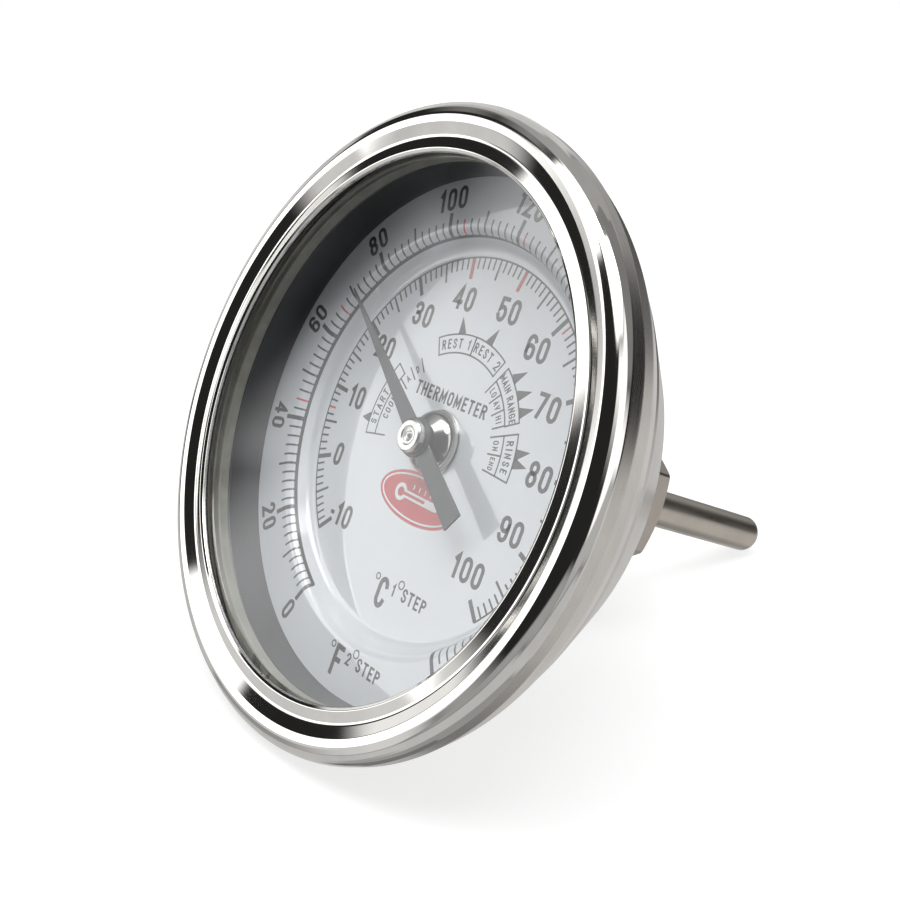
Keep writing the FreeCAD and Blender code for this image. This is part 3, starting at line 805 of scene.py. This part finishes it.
SECTOR_WORDS = [
    # word, radius, turn, height, gap
    ("REST 1", 13.9, -12.5, 1.4, 0.3),
    ("REST 2", 13.9, 15.5, 1.4, 0.3),
    ("MAIN RANGE", 13.95, 48.75, 1.15, 0.16),
    ("LO", 11.6, 38.7, 1.0, 0.2),
    ("AV", 11.6, 48.5, 1.0, 0.15),
    ("HI", 11.6, 58.4, 1.0, 0.3),
    ("RINSE", 13.95, 81.45, 1.25, 0.3),
    ("ON", 11.4, 75.5, 1.0, 0.25),
    ("END", 11.4, 87.5, 0.9, 0.2),
    ("START", 14.55, -84.0, 1.3, 0.35),
    ("COOL", 12.35, -81.0, 1.2, 0.25),
    ("A", 12.3, -57.0, 1.1, 0.25),
    ("D", 12.3, -47.0, 1.1, 0.25),
]


def print_sectors(black):
    """Boxes along the dial's middle that mark working ranges, with spikes at their set points."""
    for inner, outer, start, end in SECTORS:
        for radius in (inner, outer):
            black.arc(radius, start, end, SECTOR_LINE)
        for turn in (start, end):
            black.ray(turn, inner, outer, SECTOR_LINE)
    for inner, outer, turns in CELLS:
        for turn in turns:
            black.ray(turn, inner, outer, SECTOR_LINE)
    for tip, base, turn, lean in SPIKES:
        black.stroke([polar(base, turn + lean), polar(tip, turn)], 1.55, end_width=0.04, cap=False)
    for word, radius, turn, height, gap in SECTOR_WORDS:
        black.text_on_arc(word, radius, turn, height, 0.16, gap=gap)


BADGE_CENTRE = (0.1, -8.0)
BADGE_OVAL = (8.3, 3.5)
BADGE_RING = (7.7, 2.95)
BULB_PLACE = -3.6
TICK_PLACES = (-1.2, 0.05, 1.3, 2.55, 3.8)


def print_badge():
    """Plain red oval with a white ring and a white thermometer sign."""
    x, z = BADGE_CENTRE
    red, white = Print(), Print(INK_RAISE * 1.8)
    red.area(bend(x, z, *BADGE_OVAL, 0, 360, 72)[:-1])
    white.stroke(bend(x, z, *BADGE_RING, 0, 360, 72)[:-1], 0.26, closed=True)
    white.area(bulb_and_tube(x + BULB_PLACE, z, 1.25, 0.55, x + 4.8))
    for place in TICK_PLACES:
        white.stroke([(x + place, z + 0.95), (x + place, z + 1.65)], 0.24, cap=False)
    red.finish("badge_red", RED, "dial_enamel")
    white.finish("badge_white", WHITE, "dial_enamel")
    column = Print(INK_RAISE * 2.6)
    column.area(bulb_and_tube(x + BULB_PLACE, z, 0.65, 0.2, x + 1.8))
    column.finish("badge_column", RED, "dial_enamel")


def bulb_and_tube(x, z, bulb, half_tube, end):
    """Outline of a round bulb with a tube to the right that has a round end."""
    opening = math.degrees(math.asin(half_tube / bulb))
    around = bend(x, z, bulb, bulb, opening, 360 - opening, 28)
    return around + bend(end - half_tube, z, half_tube, half_tube, -90, 90, 8)


def print_dial():
    """All the print: black ink, red marks, and the badge."""
    black, red = Print(), Print()
    print_celsius(black, red)
    print_fahrenheit(black, red)
    print_units(black)
    print_sectors(black)
    black.text("THERMOMETER", (-0.35, 6.25), 1.94, 0.17, stretch=1.05, gap=0.18)
    black.finish("print_black", INK, "dial_enamel")
    red.finish("print_red", RED, "dial_enamel")
    print_badge()


# ---------------------------------------------------------------- pointer
BLADE_BOTTOM = 3.45
BLADE_THICKNESS = 0.3
BLADE_OUTLINE = [
    # across and along the blade, whose tip is at 29.7
    (-0.12, 29.7), (-1.38, 0.0), (-1.28, -1.4), (-1.6, -14.6),
    (1.6, -14.6), (1.28, -1.4), (1.38, 0.0), (0.12, 29.7),
]


def make_blade():
    """Flat blade with a slim point, a flared tail and eased edges."""
    vertices = []
    for height in (BLADE_BOTTOM, BLADE_BOTTOM + BLADE_THICKNESS):
        for corner in BLADE_OUTLINE:
            flat = rotated(Vector(corner), -math.radians(POINTER_REST_TURN))
            vertices.append((flat.x * MM, DIAL_FACE_Y - height * MM, flat.y * MM))
    count = len(BLADE_OUTLINE)
    faces = [tuple(reversed(range(count))), tuple(range(count, 2 * count))]
    faces += [(k, (k + 1) % count, (k + 1) % count + count, k + count) for k in range(count)]
    mesh = bpy.data.meshes.new("blade")
    mesh.from_pydata(vertices, [], faces)
    blade = finish_piece(mesh, "blade", "pointer", [POINTER], ["pointer_blade"])
    bevel = blade.modifiers.new("edges", "BEVEL")
    bevel.width, bevel.segments, bevel.limit_method = 0.05 * MM, 3, "ANGLE"
    bevel.harden_normals = True


def make_pointer():
    """The blade with its domed boss, the turned hub and the staked spindle."""
    make_blade()
    lathe("boss", [
        (1.6, 3.45, 0.05), (2.75, 3.45, 0.1), (2.75, 4.0, 0.22), (1.6, 4.0, 0.05),
    ], "pointer", [POINTER])
    lathe("hub", [
        (0.6, 3.45, 0.05), (1.6, 3.45, 0.05), (1.6, 4.02, 0.05), (2.3, 4.02, 0.08),
        (2.3, 4.95, 0.12), (2.02, 5.2, 0.12), (1.35, 5.2, 0.15), (1.15, 5.05, 0.2),
        (0.85, 5.08, 0.1), (0.6, 5.02, 0.03),
    ], "pointer", [HUB], ["pointer_hub"])
    lathe("spindle_shaft", [
        (0, 4.8, 0), (0.13, 4.82, 0.03), (0.24, 5.05, 0.05), (0.6, 5.1, 0.12),
        (0.6, -49.5, 0.1), (0, -49.5, 0),
    ], "pointer", [SPINDLE], ["spindle"], segments=48)


# ---------------------------------------------------------------- fitting and stem
HEX_APOTHEM = 10.5
HEX_LAND_RADIUS = 11.98
HEX_REAR, HEX_FRONT = -37.0, -27.0
CHAMFER_RADIUS = 10.4
CHAMFER_SLOPE = 1.25 / 2.2
EASED_HALF_CORNER = 8.8
SOCKET_RADIUS, SOCKET_END = 2.8, -12.2
MOUTH_RADIUS, MOUTH_DEPTH = 3.08, 0.3
NECK_RADIUS, COLLAR_RADIUS = 9.0, 11.5
SPIGOT_RADIUS, COLLAR_REAR, COLLAR_FRONT = 8.0, -19.6, -17.0


def hex_section(turn):
    """Outline of the fitting at a turn, from the bore round to the bore."""
    off_flat = turn % 60 - 30
    wall = min(HEX_APOTHEM / math.cos(math.radians(off_flat)), HEX_LAND_RADIUS)
    rise = (wall - CHAMFER_RADIUS) * CHAMFER_SLOPE
    return [
        (SOCKET_RADIUS, HEX_REAR + MOUTH_DEPTH),
        (MOUTH_RADIUS, HEX_REAR),
        (CHAMFER_RADIUS, HEX_REAR),
        (wall, HEX_REAR + rise),
        (wall, HEX_FRONT - rise),
        (CHAMFER_RADIUS, HEX_FRONT),
        (NECK_RADIUS + 0.2, HEX_FRONT),
        (NECK_RADIUS, HEX_FRONT + 0.2),
        (NECK_RADIUS, COLLAR_REAR - 0.4),
        (NECK_RADIUS + 0.2, COLLAR_REAR),
        (COLLAR_RADIUS - 0.15, COLLAR_REAR),
        (COLLAR_RADIUS, COLLAR_REAR + 0.15),
        (COLLAR_RADIUS, COLLAR_FRONT - 0.15),
        (COLLAR_RADIUS - 0.15, COLLAR_FRONT),
        (SPIGOT_RADIUS, COLLAR_FRONT),
        (SPIGOT_RADIUS, SOCKET_END),
        (SOCKET_RADIUS, SOCKET_END),
    ]


def make_hex():
    """Hex with turned chamfers and eased corners, with a round neck and collar before it."""
    eased = [(corner + side * EASED_HALF_CORNER) % 360
             for corner in range(0, 360, 60) for side in (-1, 1)]
    turns = sorted(set([float(k) for k in range(360)] + eased))
    rows, vertices, faces = [], [], []
    for turn in turns:
        section = hex_section(turn)
        rows.append([len(vertices) + k for k in range(len(section))])
        vertices += [at(radius, height, turn) for radius, height in section]
    for row, after in zip(rows, rows[1:] + rows[:1]):
        size = len(row)
        faces += [(row[k], row[(k + 1) % size], after[(k + 1) % size], after[k])
                  for k in range(size)]
    mesh = bpy.data.meshes.new("hex")
    mesh.from_pydata(vertices, [], faces)
    mesh.polygons.foreach_set("use_smooth", [True] * len(faces))
    mesh.set_sharp_from_angle(angle=math.radians(12))
    finish_piece(mesh, "hex", "housing", [FITTING], ["hex_fitting"])


def make_stem():
    """Drawn tube with its rounded tip."""
    lathe("stem", [
        (2.5, -4.5, 0.05), (2.75, -4.5, 0.05), (2.75, -37.0, 0), (3.0, -37.0, 0.1),
        (3.0, -73.2, 0.0), (2.5, -73.2, 0.05),
    ], "housing", [STEM], ["stem_tube"], segments=192)
    lathe("stem_tip", [
        (0, -73.2, 0), (3.0, -73.2, 0.02), (3.0, -75.0, 1.7), (0, -75.0, 0),
    ], "housing", [STEM], ["stem_tip_cap"], segments=192)


# ---------------------------------------------------------------- inner pieces
INNER_FINISHES = {
    "dial_seat_ring": SPACER_SHADE_DARKENED, "dial_bushing": BRASS, "upper_bearing": BRASS,
    "lower_bearing": BRASS, "coil_anchor": BRASS, "coil_collet": BRASS, "thrust_collar": BRASS,
    "bimetal_coil": BIMETAL, "fitting_washer": CASE, "fitting_lock_nut": FITTING,
}


def dress_inner_pieces():
    """The pieces inside keep their own meshes and take the same finishes."""
    for name, material in INNER_FINISHES.items():
        mesh = frame["nodes"][name].data
        mesh.materials.clear()
        mesh.materials.append(material)


# ---------------------------------------------------------------- stage
RIM_SETBACK = 3.5
TIP_SETBACK = 1.2
TABLE_GAP = 0.6


def table_frame():
    """(up, level): the upward normal of the table that carries rim and stem tip, and its height."""
    rim_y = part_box("bezel_ring")[0].y + RIM_SETBACK * MM
    tip_y = STEM_TIP - TIP_SETBACK * MM
    slope = math.atan2((RIM_RADIUS - STEM_RADIUS) * MM, tip_y - rim_y)
    up = Vector((0, -math.sin(slope), math.cos(slope)))
    rim = Vector((0, rim_y, -RIM_RADIUS * MM))
    tip = Vector((0, tip_y, -STEM_RADIUS * MM))
    return up, min(up.dot(rim), up.dot(tip)) - TABLE_GAP * MM


UP, TABLE_LEVEL = table_frame()
SIDE = Vector((-1, 0, 0))
FRONT = UP.cross(SIDE)
TABLE_REACH = 30.0


def make_table():
    """White table, clear from below, which the steel doesn't mirror: it mirrors the room instead."""
    mesh = bpy.data.meshes.new("table")
    corners = [
        UP * TABLE_LEVEL + (SIDE * across + FRONT * along) * TABLE_REACH
        for across, along in ((1, 1), (-1, 1), (-1, -1), (1, -1))
    ]
    mesh.from_pydata(corners, [], [(0, 1, 2, 3)])
    table = bpy.data.objects.new("table", mesh)
    bpy.context.scene.collection.objects.link(table)
    shader = Shader("table_white")
    shader.set(Base_Color=(0.35, 0.35, 0.35), Roughness=0.9, Specular_IOR_Level=0.1,
               Emission_Color=(1.0, 1.0, 1.0), Emission_Strength=0.72)
    clear = shader.tree.nodes.new("ShaderNodeBsdfTransparent")
    below = shader.tree.nodes.new("ShaderNodeNewGeometry").outputs["Backfacing"]
    mix = shader.tree.nodes.new("ShaderNodeMixShader")
    shader.link(below, mix.inputs[0])
    shader.link(shader.surface.outputs[0], mix.inputs[1])
    shader.link(clear.outputs[0], mix.inputs[2])
    shader.link(mix.outputs[0], shader.output.inputs["Surface"])
    mesh.materials.append(shader.material)
    table.visible_glossy = table.visible_diffuse = False


# What the bezel and the glass mirror, arranged for their bands: (lowest and highest
# azimuth, lowest and highest elevation, softness of the edges, brightness). Azimuth is counted
# from the dial's front towards its nine o'clock side, elevation from the table, all in degrees.
# Where two overlap, the brighter one counts.
ROOM_LIGHTS = [
    # overhead: the main light, and a dimmer ceiling to the left and behind
    (-125, 62, 60, 100, 7, 6.0),
    (62, 220, 45, 100, 6, 0.42),
    (-220, -125, 18, 100, 6, 0.25),
    # right: a tall light, and a dimmer strip below it
    (-122, -66, 0, 54, 7, 1.6),
    (-122, -57, -24, 2, 4, 0.5),
    # front left: a tall light, and a small patch that carries it further round
    (31, 56, -4, 60, 2, 2.1),
    (50, 58, 6, 21, 1.5, 1.6),
    # left: pale surfaces, with dark gaps between them
    (92, 118, -26, 32, 3, 0.75),
    (90, 124, 30, 50, 4, 0.55),
    (20, 66, -24, -3, 4, 0.75),
    (20, 40, -12, 3, 3, 0.75),
    (66, 92, -26, -9, 2, 0.6),
    (75, 92, -1, 20, 2, 1.0),
    (76, 90, 34, 58, 5, 0.22),
    (112, 152, 3, 55, 5, 0.7),
    # behind: a dim wall, a darker strip at its foot, and a brighter floor
    (150, 220, 3, 60, 5, 0.42),
    (150, 220, -14, 6, 3, 0.13),
    (135, 220, -58, -9, 3, 0.66),
    (-220, -115, -58, -9, 3, 0.66),
    # below: pale ground in place of the table, which the steel doesn't mirror
    (-57, 20, -24, -2, 4, 0.4),
    (-125, 140, -60, -24, 5, 0.6),
    (-220, 60, -100, -56, 6, 0.36),
    (60, 220, -100, -50, 6, 0.2),
]
ROOM_DARK = 0.02


def make_room():
    """The world: soft lights in a dim room, and plain white where the camera looks past them."""
    world = bpy.data.worlds.new("studio")
    bpy.context.scene.world = world
    world.use_nodes = True
    tree = world.node_tree
    tree.nodes.clear()

    def node(kind, *inputs, **settings):
        made = tree.nodes.new(kind)
        for name, value in settings.items():
            setattr(made, name, value)
        for socket, value in zip(made.inputs, inputs):
            if isinstance(value, bpy.types.NodeSocket):
                tree.links.new(value, socket)
            else:
                socket.default_value = value
        return made

    def compute(operation, *inputs):
        return node("ShaderNodeMath", *inputs, operation=operation).outputs[0]

    def along(axis):
        where = node("ShaderNodeVectorMath", direction, tuple(axis), operation="DOT_PRODUCT")
        return where.outputs["Value"]

    def rises(value, middle, softness):
        ramp = node("ShaderNodeMapRange", value, middle - softness, middle + softness, 0.0, 1.0,
                    interpolation_type="SMOOTHSTEP")
        return ramp.outputs[0]

    direction = tree.nodes.new("ShaderNodeTexCoord").outputs["Generated"]
    azimuth = compute("DEGREES", compute("ARCTAN2", along(SIDE), along(FRONT)))
    elevation = compute("DEGREES", compute("ARCSINE", along(UP)))
    total = ROOM_DARK
    for left, right, low, high, softness, brightness in ROOM_LIGHTS:
        inside = brightness
        for value, middle, sign in ((azimuth, left, 1), (azimuth, right, -1),
                                    (elevation, low, 1), (elevation, high, -1)):
            signed = compute("MULTIPLY", value, float(sign))
            inside = compute("MULTIPLY", rises(signed, sign * middle, softness), inside)
        total = compute("MAXIMUM", inside, total)
    seen = tree.nodes.new("ShaderNodeLightPath").outputs["Is Camera Ray"]
    strength = compute("ADD", compute("MULTIPLY", total, compute("SUBTRACT", 1.0, seen)), seen)
    background = node("ShaderNodeBackground", (1.0, 1.0, 1.0, 1.0), strength)
    output = tree.nodes.new("ShaderNodeOutputWorld")
    tree.links.new(background.outputs[0], output.inputs["Surface"])


# The view of the photograph: the camera's place in metres, its right and up, and its lens.
CAMERA_PLACE = Vector((0.1229, -0.1435, 0.0114))
CAMERA_RIGHT = Vector((0.6067, 0.7190, 0.3391))
CAMERA_UP = Vector((-0.2759, -0.2096, 0.9380))
CAMERA_LENS = 48.5
SENSOR_WIDTH = 36.0


def make_camera():
    """The scene's camera, without shift or depth of field."""
    camera = bpy.data.cameras.new("camera")
    camera.lens, camera.sensor_width = CAMERA_LENS, SENSOR_WIDTH
    camera.clip_start, camera.clip_end = 0.01, 50.0
    holder = bpy.data.objects.new("camera", camera)
    back = CAMERA_RIGHT.cross(CAMERA_UP)
    turn = Matrix((CAMERA_RIGHT, CAMERA_UP, back)).transposed()
    holder.matrix_world = Matrix.Translation(CAMERA_PLACE) @ turn.to_4x4()
    bpy.context.scene.collection.objects.link(holder)
    bpy.context.scene.camera = holder


make_bezel()
make_case()
make_window()
make_dial()
print_dial()
make_pointer()
make_hex()
make_stem()
dress_inner_pieces()
make_table()
make_room()
make_camera()
bpy.context.scene.view_settings.view_transform = "Standard"
